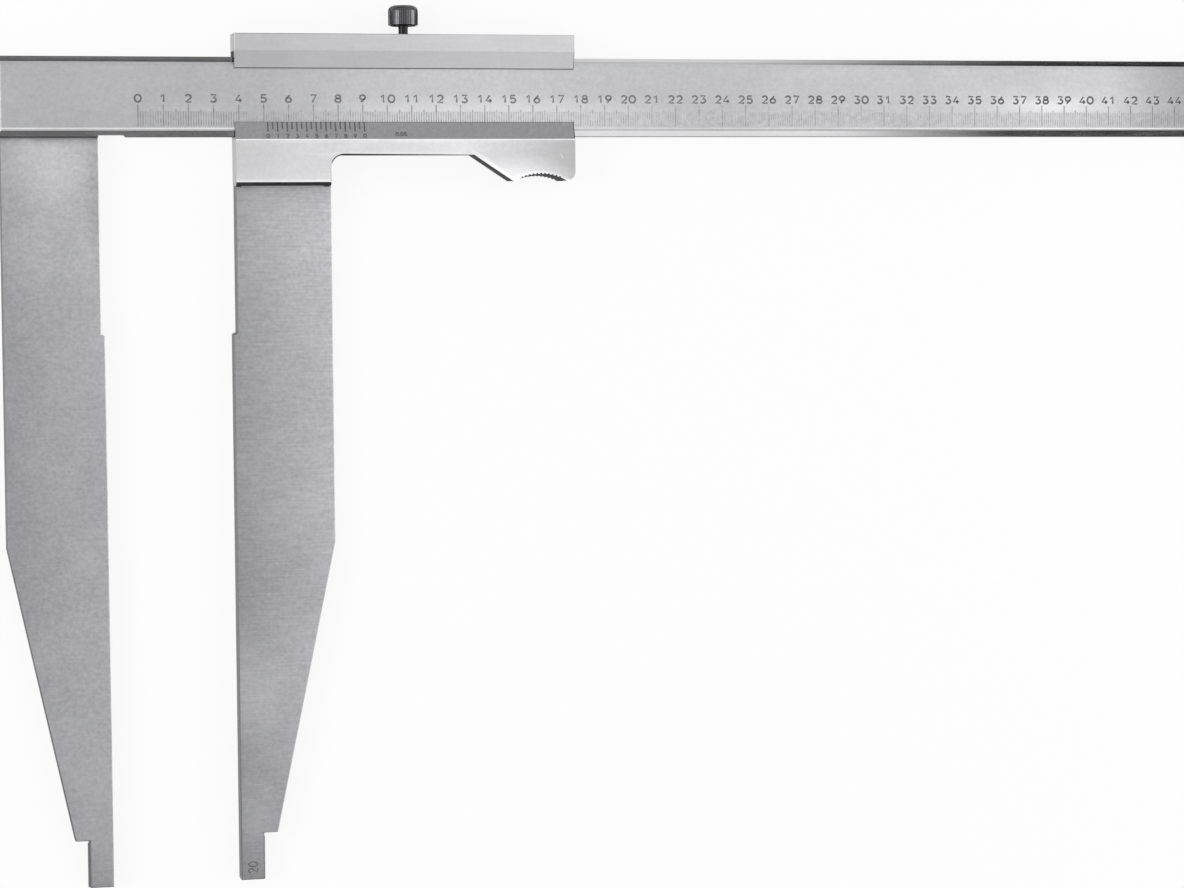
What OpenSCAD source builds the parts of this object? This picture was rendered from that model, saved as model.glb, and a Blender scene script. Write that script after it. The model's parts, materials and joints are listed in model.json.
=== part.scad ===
// Long jaw vernier caliper, lying on its back, in millimetres.
// X runs along the beam, with X = 0 on the measuring face of the fixed jaw.
// Y = 0 is the lower guide edge of the beam, and the jaws reach down from it.
// Z = 0 is the plane that the caliper rests on, and the scales face +Z.

/* [Measuring] */
// Largest outside measurement
measuring_range = 500; // [300:10:800]
// Opening between the measuring faces as drawn
jaw_gap = 51.4; // [10:0.1:200]

/* [Beam] */
// Height of the beam across its guide edges
beam_h = 32; // [28:0.5:45]
// Thickness of the beam
beam_t = 9; // [8:0.5:14]
// Bevel along the four long edges of the beam
beam_bevel = 2.8; // [0.5:0.1:3]
// Length of beam left beyond the end stop
beam_tail = 3; // [1:0.5:40]
// Length of the undercut in the guide edge beside the fixed jaw
undercut_l = 9.2; // [4:0.1:20]
// Depth of that undercut
undercut_d = 0.8; // [0.3:0.1:1.5]

/* [Jaws] */
// Reach of the jaws from the beam to their tips
jaw_reach = 300; // [200:5:400]
// Width of a jaw above its taper
jaw_w = 40; // [34:0.5:60]
// Thickness of a jaw
jaw_t = 8; // [6:0.5:9.5]
// Distance from the beam to the top of the measuring faces
face_top = 78; // [40:1:120]
// Height of a measuring face above the relieved edge over it
face_step = 1.5; // [0.5:0.1:3]
// Distance from the beam to the start of the taper
taper_top = 163; // [130:1:175]
// Width of a jaw at the end of its taper
shoulder_w = 15; // [13:0.5:25]
// Length of the slim tip
tip_l = 19; // [10:0.5:20]
// Width of one tip, half of the inside measuring width
tip_w = 10; // [6:0.5:12]
// Radius of the rounded inside measuring face of a tip
tip_r = 9; // [6:0.5:20]
// Radius of the relief notch under the shoulder
notch_r = 0.9; // [0.4:0.1:1.5]

/* [Jaw seats] */
// Height of the tang that seats the fixed jaw in the beam
fixed_tang_h = 26; // [20:0.5:27]
// Thickness of that tang
fixed_tang_t = 5.5; // [4:0.25:6]
// Distance from the jaw's sides to the tang's sides
tang_inset = 2; // [1:0.25:5]
// Distance from the sides and ends of the fixed jaw's tang to its screws
fixed_screw_inset = 5.5; // [5:0.25:6]
// Distance from the sides and ends of the moving jaw's tang to its screws
moving_screw_inset = 5; // [4.5:0.25:5.5]
// Diameter of the jaw screws
jaw_screw_d = 4; // [3:0.5:5]
// Head diameter of the jaw screws
jaw_head_d = 7.4; // [6:0.2:9]
// Length of thread beyond the tang
jaw_thread_l = 4.2; // [3:0.1:4.5]
// Diameter of the locating dowels
dowel_d = 4; // [3:0.5:5]
// Distance between the two dowels of a jaw
dowel_pitch = 11; // [8:0.5:14]

/* [Slider] */
// Length of the slider
slider_l = 138.6; // [120:0.2:180]
// Distance from the moving measuring face to the slider's end
slider_set = 1; // [0.5:0.1:5]
// Thickness of the back plate
plate_t = 2; // [1.5:0.1:4]
// Thickness of the slider in front of the beam
front_t = 3; // [2:0.1:6]
// Height of the slider above the beam
rail_h = 9.2; // [8:0.1:14]
// Overlap of the upper lip on the beam's front
lip_h = 4.6; // [3:0.1:7]
// Height above the beam at which the lip's slope starts
lip_slope_h = 2.4; // [0.5:0.1:5]
// Thickness of the upper lip at its edge
lip_edge_t = 1.1; // [0.6:0.1:1.9]
// Overlap of the vernier slope on the beam's front
vernier_h = 6.1; // [3:0.1:8]
// Depth below the beam's edge at which the vernier slope starts
vernier_drop = 1; // [0:0.1:3]
// Thickness of the vernier slope at its edge
vernier_edge_t = 0.3; // [0.2:0.05:0.8]
// Depth of the lower rail below the beam
lower_h = 7.2; // [7:0.1:12]
// Depth of the root block below the beam
root_h = 19.4; // [17:0.1:24]
// Distance by which the root block stops short of the jaw's outer edge
root_short = 0.7; // [0:0.1:2]
// Fillet between the root block and the lower rail
root_fillet = 5.2; // [1:0.1:6]
// Bevel along the front lower edge of the root block
root_bevel = 1.4; // [0.3:0.1:2]

/* [Thumb rest] */
// Depth of the thumb rest below the beam
thumb_h = 17.8; // [14:0.1:24]
// Length of the slope that leads to the thumb rest
thumb_slope_l = 16; // [8:0.5:24]
// Width of the hollow for the thumb
thumb_w = 21.4; // [14:0.2:26]
// Depth of the hollow for the thumb, at the slider's front
thumb_d = 2.8; // [1.5:0.1:4]
// Lean of the hollow, in degrees, which makes it shallower at the back
thumb_lean = 4; // [0:0.5:7]
// Width of the land on each side of the hollow
thumb_land = 1; // [0.5:0.1:2]
// Radius of the corner at the end of the slider
thumb_corner_r = 3.6; // [1:0.1:6]
// Distance between the grooves in the hollow
groove_pitch = 1.6; // [1.2:0.1:3]
// Radius of the grooves in the hollow
groove_r = 0.4; // [0.2:0.05:0.55]

/* [Gib] */
// Thickness of the gib strip
gib_t = 1.5; // [1:0.1:2]
// Space over the gib strip for its springs
gib_space = 0.65; // [0.5:0.05:0.9]
// Distance from the slider's ends to the gib strip's ends
gib_inset = 3; // [2:0.5:10]
// Diameter of the gib set screws
set_screw_d = 3; // [2:0.5:3]
// Distance from the slider's ends to the gib set screws
set_screw_inset = 24; // [18:0.5:28]
// Diameter of the gib keeper pins
keeper_d = 1.6; // [1:0.1:2]
// Distance from the slider's ends to the gib keeper pins
keeper_inset = 12; // [10:0.5:14]
// Length of each leaf spring
spring_l = 26; // [18:1:30]
// Thickness of each leaf spring
spring_t = 0.3; // [0.2:0.05:0.4]

/* [Lock screw] */
// Diameter of the lock screw
lock_d = 4; // [3:0.5:5]
// Diameter of the knob
knob_d = 12; // [9:0.5:13]
// Height of the knob
knob_h = 8.4; // [5:0.2:14]
// Bevel around the top of the knob
knob_top_bevel = 1.8; // [0.5:0.1:2.5]
// Bevel around the bottom of the knob
knob_low_bevel = 0.8; // [0.3:0.1:1.5]
// Length of screw that shows between the slider and the knob
neck_l = 3.5; // [2:0.1:8]
// Diameter of the brass clamp pad
pad_d = 5.2; // [4:0.1:6]
// Thickness of the brass clamp pad
pad_t = 1.5; // [1:0.1:1.6]
// Lift of the pad when the lock screw is opened
pad_lift = 1.1; // [0.8:0.05:1.3]

/* [Plates and small screws] */
// Diameter of the plate screws
plate_screw_d = 3; // [2:0.5:3]
// Head diameter of the plate screws
plate_head_d = 5.4; // [4.6:0.2:5.6]
// Length of the plate screws
plate_screw_l = 6.5; // [5:0.5:7]
// Distance from the slider's ends to the nearest plate screws
plate_screw_inset = 6; // [5:0.5:7]
// Diameter of the back plate's locating dowels
plate_dowel_d = 3; // [2:0.5:3]
// Distance along the slider from the gib set screws to the upper dowels
plate_dowel_inset = 8.1; // [7:0.1:10]
// Width of the end stop along the beam
stop_w = 12; // [10:0.5:20]

/* [Clearances] */
// Running clearance between the beam and the slider
run_clear = 0.05; // [0.03:0.01:0.1]
// Clearance around seated and fastened pieces
seat_clear = 0.02; // [0.01:0.01:0.1]
// Distance by which the screw heads lie under the surface
head_sink = 0.15; // [0.05:0.05:0.3]

/* [Hidden] */
$fn = 48;
over = 1;                       // how far a cut reaches past the face it starts from
slot_w = 0.9;                   // width of a screwdriver slot
slot_d = 0.8;                   // depth of a screwdriver slot
small_slot_w = 0.6;             // width of the slot in the small screws
head_rim = 0.3;                 // straight rim of a countersunk head
spring_fn = 1440;               // facets of the full circle that a leaf spring is a short arc of
hollow_fn = 96;                 // facets of the full circle that the thumb hollow is an arc of
groove_fn = 16;                 // facets of a groove in the thumb hollow
beam_z0 = plate_t + run_clear;
beam_z1 = beam_z0 + beam_t;
beam_mid_z = (beam_z0 + beam_z1) / 2;
lip_z0 = beam_z1 + run_clear;
slider_z1 = beam_z1 + front_t;
slider_x0 = jaw_gap + slider_set;
slider_x1 = slider_x0 + slider_l;
slider_mid = (slider_x0 + slider_x1) / 2;
slider_y1 = beam_h + rail_h;
root_x1 = jaw_gap + jaw_w - root_short;
gib_y0 = beam_h + run_clear;
gib_y1 = gib_y0 + gib_t;
slot_y1 = gib_y1 + gib_space;
rail_mid_y = (slot_y1 + slider_y1) / 2;
lower_mid_y = -lower_h / 2;
beam_x0 = -jaw_w;
slider_end = slider_set + slider_l + measuring_range;
stop_x0 = slider_end + run_clear;
beam_x1 = stop_x0 + stop_w + beam_tail;
thumb_x1 = slider_x1 - thumb_corner_r;
thumb_x0 = thumb_x1 - thumb_w;
thumb_slope_x1 = thumb_x0 - thumb_land;
thumb_slope_x0 = thumb_slope_x1 - thumb_slope_l;
thumb_r = (pow(thumb_w / 2, 2) + pow(thumb_d, 2)) / (2 * thumb_d);
groove_angle = groove_pitch / thumb_r * 180 / PI;
groove_n = floor((thumb_w - 2 * groove_pitch) / groove_pitch / 2);
pad_y0 = gib_y1 + seat_clear;
pad_y1 = pad_y0 + pad_t;
knob_y0 = slider_y1 + neck_l;
fixed_tang_x0 = -jaw_w + tang_inset;
fixed_tang_x1 = -face_step - tang_inset;
move_tang_x0 = jaw_gap + face_step + tang_inset;
move_tang_x1 = root_x1 - tang_inset;
move_tang_y1 = -seat_clear - run_clear;
spring_offset = (slider_l / 2 - set_screw_inset) / 2;
spring_x = [slider_mid - spring_offset, slider_mid + spring_offset];
set_screw_x = [slider_x0 + set_screw_inset, slider_x1 - set_screw_inset];
keeper_x = [slider_x0 + keeper_inset, slider_x1 - keeper_inset];
keeper_y0 = gib_y0 + gib_t / 4;
knob_bore_l = knob_h * 2 / 3;
knob_bevel_h = knob_top_bevel * 0.7;
notch_out = notch_r / 4;
notch_drop = notch_r * 1.2;
plate_screw_spread = slider_l / 6;
plate_dowel_x = [set_screw_x[0] + plate_dowel_inset, set_screw_x[1] - plate_dowel_inset];
plate_low_x0 = root_x1 + root_fillet + plate_head_d / 2;
plate_low_step = (slider_x1 - plate_screw_inset - plate_low_x0) / 4;

// Places of the fasteners, as [x, y] pairs
function corners(x0, x1, y0, y1, inset) =
  [for (x = [x0 + inset, x1 - inset], y = [y0 + inset, y1 - inset]) [x, y]];
fixed_screws = corners(fixed_tang_x0, fixed_tang_x1, 0, fixed_tang_h, fixed_screw_inset);
moving_screws = corners(move_tang_x0, move_tang_x1, -root_h, move_tang_y1, moving_screw_inset);
fixed_dowels = [for (s = [-1, 1])
  [(fixed_tang_x0 + fixed_tang_x1) / 2 + s * dowel_pitch / 2, fixed_tang_h / 2]];
moving_dowels = [for (s = [-1, 1])
  [(move_tang_x0 + move_tang_x1) / 2 + s * dowel_pitch / 2, (move_tang_y1 - root_h) / 2]];
stop_screws = [for (y = [beam_h / 4, beam_h * 3 / 4]) [stop_x0 + stop_w / 2, y]];
plate_screws = concat(
  [for (x = [slider_x0 + plate_screw_inset, slider_mid - plate_screw_spread,
             slider_mid + plate_screw_spread, slider_x1 - plate_screw_inset]) [x, rail_mid_y]],
  [for (i = [0, 2, 4]) [plate_low_x0 + plate_low_step * i, lower_mid_y]]
);
plate_dowels = concat(
  [for (x = plate_dowel_x) [x, rail_mid_y]],
  [for (i = [1, 3]) [plate_low_x0 + plate_low_step * i, lower_mid_y]]
);

// A bar along X from x0 to x1, with the outline given as [y, z] points
module bar(x0, x1, points) {
  translate([x0, 0, 0])
    rotate([90, 0, 90])
      linear_extrude(x1 - x0) polygon(points);
}

// A box from one corner to the other
module box(a, b) {
  translate(a) cube(b - a);
}

// Countersunk screw that enters from the back, head down at z = 0
module csk_screw(d, head_d, length) {
  cone = (head_d - d) / 2;
  difference() {
    rotate_extrude()
      polygon([[0, 0], [head_d / 2, 0], [head_d / 2, head_rim], [d / 2, head_rim + cone],
               [d / 2, length], [0, length]]);
    box([-head_d, -slot_w / 2, -over], [head_d, slot_w / 2, slot_d]);
  }
}

// Space for a countersunk screw, open towards the back
module csk_hole(d, head_d, length) {
  cone = (head_d - d) / 2;
  r = d / 2 + seat_clear;
  rotate_extrude()
    polygon([[0, -over], [head_d / 2 + seat_clear, -over], [head_d / 2 + seat_clear, head_rim],
             [r, head_rim + cone], [r, length + seat_clear], [0, length + seat_clear]]);
}

// Puts a copy of its child at each [x, y] place
module at(places, z) {
  for (p = places) translate([p[0], p[1], z]) children();
}

// Round bar along +Y from y0 to y1 at x, on the beam's middle plane
module y_rod(x, y0, y1, r) {
  translate([x, y0, beam_mid_z]) rotate([-90, 0, 0]) cylinder(h = y1 - y0, r = r);
}

// Outline of a jaw with its measuring face on x = 0 and its body towards +x
module jaw_outline(top_y) {
  shoulder_y = -(jaw_reach - tip_l);
  difference() {
    polygon([
      [face_step, top_y], [jaw_w, top_y], [jaw_w, -taper_top], [shoulder_w, shoulder_y],
      [tip_w, shoulder_y], [tip_w, -jaw_reach], [0, -jaw_reach], [0, -face_top - face_step / 2],
      [face_step, -face_top]
    ]);
    translate([tip_w + notch_out, shoulder_y - notch_drop]) circle(notch_r);
  }
}

// What is ground away to round the inside measuring face of a tip
module tip_rounding() {
  axis_x = tip_w - tip_r;
  cut_l = tip_l + over;
  translate([axis_x, -jaw_reach + tip_l, jaw_t / 2])
    rotate([90, 0, 0])
      linear_extrude(cut_l)
        difference() {
          translate([tip_r / 2, -jaw_t]) square([tip_r, 2 * jaw_t]);
          circle(tip_r);
        }
}

// Jaw plate with its tip rounded, measuring face on x = 0
module jaw_plate(top_y) {
  difference() {
    linear_extrude(jaw_t) jaw_outline(top_y);
    tip_rounding();
  }
}

module beam() {
  z0 = beam_z0;
  z1 = beam_z1;
  b = beam_bevel;
  pocket_z = fixed_tang_t + seat_clear;
  color("silver")
    difference() {
      bar(beam_x0, beam_x1, [
        [b, z0], [beam_h - b, z0], [beam_h, z0 + b], [beam_h, z1 - b],
        [beam_h - b, z1], [b, z1], [0, z1 - b], [0, z0 + b]
      ]);
      translate([0, 0, z0 - over])
        linear_extrude(beam_t + 2 * over)
          polygon([
            [-face_step, -over], [-face_step, undercut_d], [undercut_l - undercut_d, undercut_d],
            [undercut_l + over, -over]
          ]);
      box([fixed_tang_x0 - seat_clear, -over, z0 - over],
          [fixed_tang_x1 + seat_clear, fixed_tang_h + seat_clear, pocket_z]);
      at(fixed_screws, 0)
        cylinder(h = fixed_tang_t + jaw_thread_l + seat_clear, d = jaw_screw_d + 2 * seat_clear);
      at(fixed_dowels, 0)
        cylinder(h = fixed_tang_t + jaw_thread_l + seat_clear, d = dowel_d + 2 * seat_clear);
      at(stop_screws, 0)
        cylinder(h = plate_screw_l + seat_clear, d = plate_screw_d + 2 * seat_clear);
    }
}

module fixed_jaw() {
  color("darkgray")
    difference() {
      union() {
        mirror([1, 0, 0]) jaw_plate(0);
        box([fixed_tang_x0, -over, 0], [fixed_tang_x1, fixed_tang_h, fixed_tang_t]);
      }
      at(fixed_screws, head_sink)
        csk_hole(jaw_screw_d, jaw_head_d, fixed_tang_t + jaw_thread_l);
      at(fixed_dowels, -over)
        cylinder(h = fixed_tang_t + 2 * over, d = dowel_d + 2 * seat_clear);
    }
}

module fixed_jaw_screws() {
  color("dimgray")
    at(fixed_screws, head_sink)
      csk_screw(jaw_screw_d, jaw_head_d, fixed_tang_t + jaw_thread_l - head_sink);
}

module fixed_jaw_dowels() {
  color("gray")
    at(fixed_dowels, head_sink)
      cylinder(h = fixed_tang_t + jaw_thread_l - head_sink, d = dowel_d);
}

module end_stop() {
  color("silver")
    difference() {
      box([stop_x0, beam_bevel, 0], [stop_x0 + stop_w, beam_h - beam_bevel, beam_z0]);
      at(stop_screws, head_sink) csk_hole(plate_screw_d, plate_head_d, plate_screw_l);
    }
}

module end_stop_screws() {
  color("dimgray")
    at(stop_screws, head_sink) csk_screw(plate_screw_d, plate_head_d, plate_screw_l - head_sink);
}

// Outline of the lower part of the slider, seen from the front
module block_outline() {
  translate([slider_x0, -lower_h]) square([slider_l, vernier_h + lower_h]);
  translate([slider_x0, -root_h]) square([root_x1 - slider_x0, root_h]);
  difference() {
    translate([root_x1 - over, -lower_h - root_fillet]) square(root_fillet + over);
    translate([root_x1 + root_fillet, -lower_h - root_fillet]) circle(root_fillet);
    translate([root_x1 + root_fillet, -lower_h - 2 * root_fillet])
      square([over, 2 * root_fillet]);
  }
  polygon([
    [thumb_slope_x0, -lower_h], [thumb_slope_x1, -thumb_h], [thumb_x1, -thumb_h],
    [slider_x1, -thumb_h + thumb_corner_r], [slider_x1, -lower_h + over],
    [thumb_slope_x0, -lower_h + over]
  ]);
  translate([thumb_x1, -thumb_h + thumb_corner_r]) circle(thumb_corner_r);
}

// What is cut away for the thumb: a leaning cylinder with grooves along it
module thumb_hollow() {
  translate([(thumb_x0 + thumb_x1) / 2, -thumb_h + thumb_d - thumb_r, slider_z1])
    rotate([-thumb_lean, 0, 0])
      translate([0, 0, -2 * slider_z1])
        linear_extrude(3 * slider_z1) {
          circle(thumb_r, $fn = hollow_fn);
          for (i = [-groove_n:groove_n])
            rotate(i * groove_angle) translate([0, thumb_r]) circle(groove_r, $fn = groove_fn);
        }
}

// Lower part of the slider, with the vernier slope, the thumb rest and the jaw's root
module slider_block() {
  top = slider_z1;
  color("gainsboro")
    difference() {
      translate([0, 0, plate_t]) linear_extrude(top - plate_t) block_outline();
      // Room for the beam
      box([slider_x0 - over, -run_clear, plate_t - over],
          [slider_x1 + over, vernier_h + over, lip_z0]);
      // Slope that brings the vernier down to the main scale
      bar(slider_x0 - over, slider_x1 + over, [
        [-vernier_drop, top], [-vernier_drop, top + over], [vernier_h + over, top + over],
        [vernier_h + over, lip_z0 + vernier_edge_t], [vernier_h, lip_z0 + vernier_edge_t]
      ]);
      thumb_hollow();
      // Pocket for the tang of the moving jaw
      box([move_tang_x0 - seat_clear, -root_h - over, plate_t - over],
          [move_tang_x1 + seat_clear, -run_clear + over, jaw_t + seat_clear]);
      // Bevel along the front lower edge of the root
      bar(slider_x0 - over, root_x1 + over, [
        [-root_h - over, top - root_bevel - over], [-root_h - over, top + over],
        [-root_h + root_bevel + over, top + over]
      ]);
      at(moving_screws, 0)
        cylinder(h = jaw_t + jaw_thread_l + seat_clear, d = jaw_screw_d + 2 * seat_clear);
      at(moving_dowels, 0)
        cylinder(h = jaw_t + jaw_thread_l + seat_clear, d = dowel_d + 2 * seat_clear);
      plate_holes();
    }
}

// Rail over the beam, which holds the gib and the lock screw
module slider_rail() {
  color("gainsboro")
    difference() {
      bar(slider_x0, slider_x1, [
        [slot_y1, plate_t], [slider_y1, plate_t], [slider_y1, slider_z1],
        [beam_h + lip_slope_h, slider_z1], [beam_h - lip_h, lip_z0 + lip_edge_t],
        [beam_h - lip_h, lip_z0], [slot_y1, lip_z0]
      ]);
      plate_holes();
      for (x = set_screw_x)
        y_rod(x, slot_y1 - over, slider_y1 + over, set_screw_d / 2 + seat_clear);
      for (x = keeper_x)
        y_rod(x, slot_y1 - over, rail_mid_y, keeper_d / 2 + seat_clear);
      y_rod(slider_mid, slot_y1 - over, slider_y1 + over, lock_d / 2 + run_clear);
      y_rod(slider_mid, slot_y1 - over, pad_y1 + pad_lift + seat_clear, pad_d / 2 + run_clear);
    }
}

// Holes for the screws and dowels of the back plate
module plate_holes() {
  at(plate_screws, 0)
    cylinder(h = plate_screw_l + seat_clear, d = plate_screw_d + 2 * seat_clear);
  at(plate_dowels, 0)
    cylinder(h = plate_screw_l + seat_clear, d = plate_dowel_d + 2 * seat_clear);
}

module slider_back_plate() {
  color("silver")
    difference() {
      union() {
        box([slider_x0, 0, 0], [slider_x1, slider_y1, plate_t - seat_clear]);
        box([root_x1 + seat_clear, -lower_h, 0], [slider_x1, over, plate_t - seat_clear]);
      }
      at(plate_screws, head_sink) csk_hole(plate_screw_d, plate_head_d, plate_screw_l);
      at(plate_dowels, -over)
        cylinder(h = plate_t + 2 * over, d = plate_dowel_d + 2 * seat_clear);
    }
}

module back_plate_screws() {
  color("dimgray")
    at(plate_screws, head_sink) csk_screw(plate_screw_d, plate_head_d, plate_screw_l - head_sink);
}

module back_plate_dowels() {
  color("gray")
    at(plate_dowels, head_sink) cylinder(h = plate_screw_l - head_sink, d = plate_dowel_d);
}

module moving_jaw() {
  color("darkgray")
    difference() {
      union() {
        translate([jaw_gap, 0, 0]) jaw_plate(-root_h - seat_clear);
        box([move_tang_x0, -root_h - over, 0], [move_tang_x1, move_tang_y1, jaw_t]);
      }
      at(moving_screws, head_sink) csk_hole(jaw_screw_d, jaw_head_d, jaw_t + jaw_thread_l);
      at(moving_dowels, -over)
        cylinder(h = jaw_t + 2 * over, d = dowel_d + 2 * seat_clear);
    }
}

module moving_jaw_screws() {
  color("dimgray")
    at(moving_screws, head_sink)
      csk_screw(jaw_screw_d, jaw_head_d, jaw_t + jaw_thread_l - head_sink);
}

module moving_jaw_dowels() {
  color("gray")
    at(moving_dowels, head_sink)
      cylinder(h = jaw_t + jaw_thread_l - head_sink, d = dowel_d);
}

module gib_strip() {
  color("goldenrod")
    difference() {
      box([slider_x0 + gib_inset, gib_y0, beam_z0 + run_clear],
          [slider_x1 - gib_inset, gib_y1, lip_z0 - 2 * run_clear]);
      for (x = keeper_x)
        y_rod(x, gib_y0 - over, gib_y1 + over, keeper_d / 2 + seat_clear);
    }
}

// Two bowed leaves, with their ends on the gib and their backs against the rail
module gib_springs() {
  bow = gib_space - spring_t - 2 * seat_clear;
  r = (pow(spring_l / 2, 2) + pow(bow, 2)) / (2 * bow);
  leaf_w = beam_t / 2;
  color("steelblue")
    for (x = spring_x)
      translate([x, gib_y1 + seat_clear + bow - r, beam_mid_z - leaf_w / 2])
        linear_extrude(leaf_w)
          intersection() {
            difference() {
              circle(r + spring_t, $fn = spring_fn);
              circle(r, $fn = spring_fn);
            }
            translate([-spring_l / 2, 0]) square([spring_l, r + over]);
          }
}

module gib_set_screws() {
  color("dimgray")
    for (x = set_screw_x)
      difference() {
        y_rod(x, gib_y1 + seat_clear, slider_y1 - head_sink, set_screw_d / 2);
        box([x - set_screw_d, slider_y1 - slot_d - head_sink, beam_mid_z - small_slot_w / 2],
            [x + set_screw_d, slider_y1 + over, beam_mid_z + small_slot_w / 2]);
      }
}

module gib_keeper_pins() {
  color("gray")
    for (x = keeper_x)
      y_rod(x, keeper_y0, rail_mid_y - seat_clear, keeper_d / 2);
}

module clamp_pad() {
  color("goldenrod") y_rod(slider_mid, pad_y0, pad_y1, pad_d / 2);
}

module lock_screw() {
  color("dimgray") y_rod(slider_mid, pad_y1 + seat_clear, knob_y0 + knob_bore_l, lock_d / 2);
}

module lock_knob() {
  color("dimgray")
    translate([slider_mid, knob_y0, beam_mid_z])
      rotate([-90, 0, 0])
        difference() {
          rotate_extrude()
            polygon([
              [0, 0], [knob_d / 2 - knob_low_bevel, 0], [knob_d / 2, knob_low_bevel],
              [knob_d / 2, knob_h - knob_bevel_h], [knob_d / 2 - knob_top_bevel, knob_h],
              [0, knob_h]
            ]);
          translate([0, 0, -over])
            cylinder(h = knob_bore_l + over + seat_clear, d = lock_d + 2 * seat_clear);
        }
}

beam();
fixed_jaw();
fixed_jaw_screws();
fixed_jaw_dowels();
end_stop();
end_stop_screws();
slider_block();
slider_rail();
slider_back_plate();
back_plate_screws();
back_plate_dowels();
moving_jaw();
moving_jaw_screws();
moving_jaw_dowels();
gib_strip();
gib_springs();
gib_set_screws();
gib_keeper_pins();
clamp_pad();
lock_screw();
lock_knob();
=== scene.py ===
# %% [markdown]
# A long jaw vernier caliper, from bare solids to a finished steel instrument.
# The solids already have their real sizes and places. This lesson gives them what a
# camera sees: broken edges, ground and satin steel, black marks, and studio light.
# Every cell makes one thing and prints what it made.

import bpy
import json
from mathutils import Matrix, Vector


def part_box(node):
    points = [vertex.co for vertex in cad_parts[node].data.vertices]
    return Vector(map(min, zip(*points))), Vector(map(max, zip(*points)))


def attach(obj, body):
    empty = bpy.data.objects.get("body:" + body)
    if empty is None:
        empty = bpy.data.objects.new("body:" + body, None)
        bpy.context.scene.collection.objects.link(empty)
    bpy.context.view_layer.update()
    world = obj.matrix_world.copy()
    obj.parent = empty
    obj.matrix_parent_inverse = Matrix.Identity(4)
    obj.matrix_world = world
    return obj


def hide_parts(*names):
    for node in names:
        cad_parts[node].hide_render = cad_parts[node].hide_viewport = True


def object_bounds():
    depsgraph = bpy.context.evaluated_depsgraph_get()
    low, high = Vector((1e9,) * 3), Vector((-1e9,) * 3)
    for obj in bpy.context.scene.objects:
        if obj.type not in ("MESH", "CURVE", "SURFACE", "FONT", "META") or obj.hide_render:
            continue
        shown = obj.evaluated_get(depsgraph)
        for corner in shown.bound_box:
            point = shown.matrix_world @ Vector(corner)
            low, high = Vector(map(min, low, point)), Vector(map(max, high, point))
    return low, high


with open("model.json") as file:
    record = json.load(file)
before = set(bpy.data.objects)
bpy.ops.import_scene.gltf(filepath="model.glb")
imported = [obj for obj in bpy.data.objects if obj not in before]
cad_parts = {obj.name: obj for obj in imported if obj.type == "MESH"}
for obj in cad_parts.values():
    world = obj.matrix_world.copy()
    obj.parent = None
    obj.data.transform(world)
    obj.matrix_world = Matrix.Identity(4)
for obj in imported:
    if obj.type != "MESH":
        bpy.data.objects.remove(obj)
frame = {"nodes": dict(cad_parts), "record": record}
cad_low, cad_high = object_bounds()

# %% [markdown]
# The scene's unit is the metre, but a caliper is thought of in millimetres. So lengths
# are written as a number of MM.

# %% Imports and units
import json
import math

import bmesh
import bpy
from mathutils import Matrix, Quaternion, Vector

MM = 0.001
UP = Vector((0, 0, 1))
print("box in mm:", [round(v / MM, 1) for v in (*cad_low, *cad_high)])

# %% [markdown]
# The camera stands far away with a long lens, a little to the left of the caliper.
# That is why the left side of each jaw shows and the beam narrows to the right.
# Its place, its aim and its slight roll are three plain values. A camera looks along
# its own -Z, so its three axes follow from the aim and from +Y, which is up in the
# picture, and the roll comes on top.

# %% Camera
CAMERA_PLACE = Vector((-112.8, -39.3, 1324.8)) * MM
CAMERA_AIM = Vector((197.8, -125.8, 11.05)) * MM
CAMERA_ROLL = math.radians(-0.42)
CAMERA_LENS = 100

camera_data = bpy.data.cameras.new("camera")
camera_data.lens = CAMERA_LENS
camera = bpy.data.objects.new("camera", camera_data)
camera.location = CAMERA_PLACE
camera.rotation_mode = "QUATERNION"
back = (CAMERA_PLACE - CAMERA_AIM).normalized()
right = Vector((0, 1, 0)).cross(back).normalized()
level = Matrix((right, back.cross(right), back)).transposed().to_quaternion()
camera.rotation_quaternion = level @ Quaternion(UP, CAMERA_ROLL)
bpy.context.scene.collection.objects.link(camera)
bpy.context.scene.camera = camera
print("camera distance in mm:", round((CAMERA_AIM - CAMERA_PLACE).length / MM))

# %% [markdown]
# A node helper keeps the materials short. It makes one node, sets its fields, and
# fills its sockets: a value is written into the socket, another node's output is
# linked to it.


# %% Node helper
def add_node(tree, kind, sockets, **fields):
    """One shader node, with its fields set and its sockets filled or linked."""
    node = tree.nodes.new(kind)
    for field, value in fields.items():
        setattr(node, field, value)
    for socket, value in sockets.items():
        if isinstance(value, bpy.types.NodeSocket):
            tree.links.new(value, node.inputs[socket])
        else:
            node.inputs[socket].default_value = value
    return node


# %% [markdown]
# The studio is a white room without corners. The sky is white where the camera or a
# reflection looks at it, and a little weaker as a lamp, so that a colour renders
# about as it is written.

# %% World
SKY_AS_LAMP = 0.65


def calculate(tree, operation, a, b):
    """One Math node's result."""
    return add_node(tree, "ShaderNodeMath", {0: a, 1: b}, operation=operation).outputs[0]


def seen(tree):
    """1 where the camera, a reflection or a look through glass meets the surface, else 0."""
    rays = add_node(tree, "ShaderNodeLightPath", {}).outputs
    direct = calculate(tree, "MAXIMUM", rays["Is Camera Ray"], rays["Is Glossy Ray"])
    return calculate(tree, "MAXIMUM", direct, rays["Is Transmission Ray"])


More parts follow.
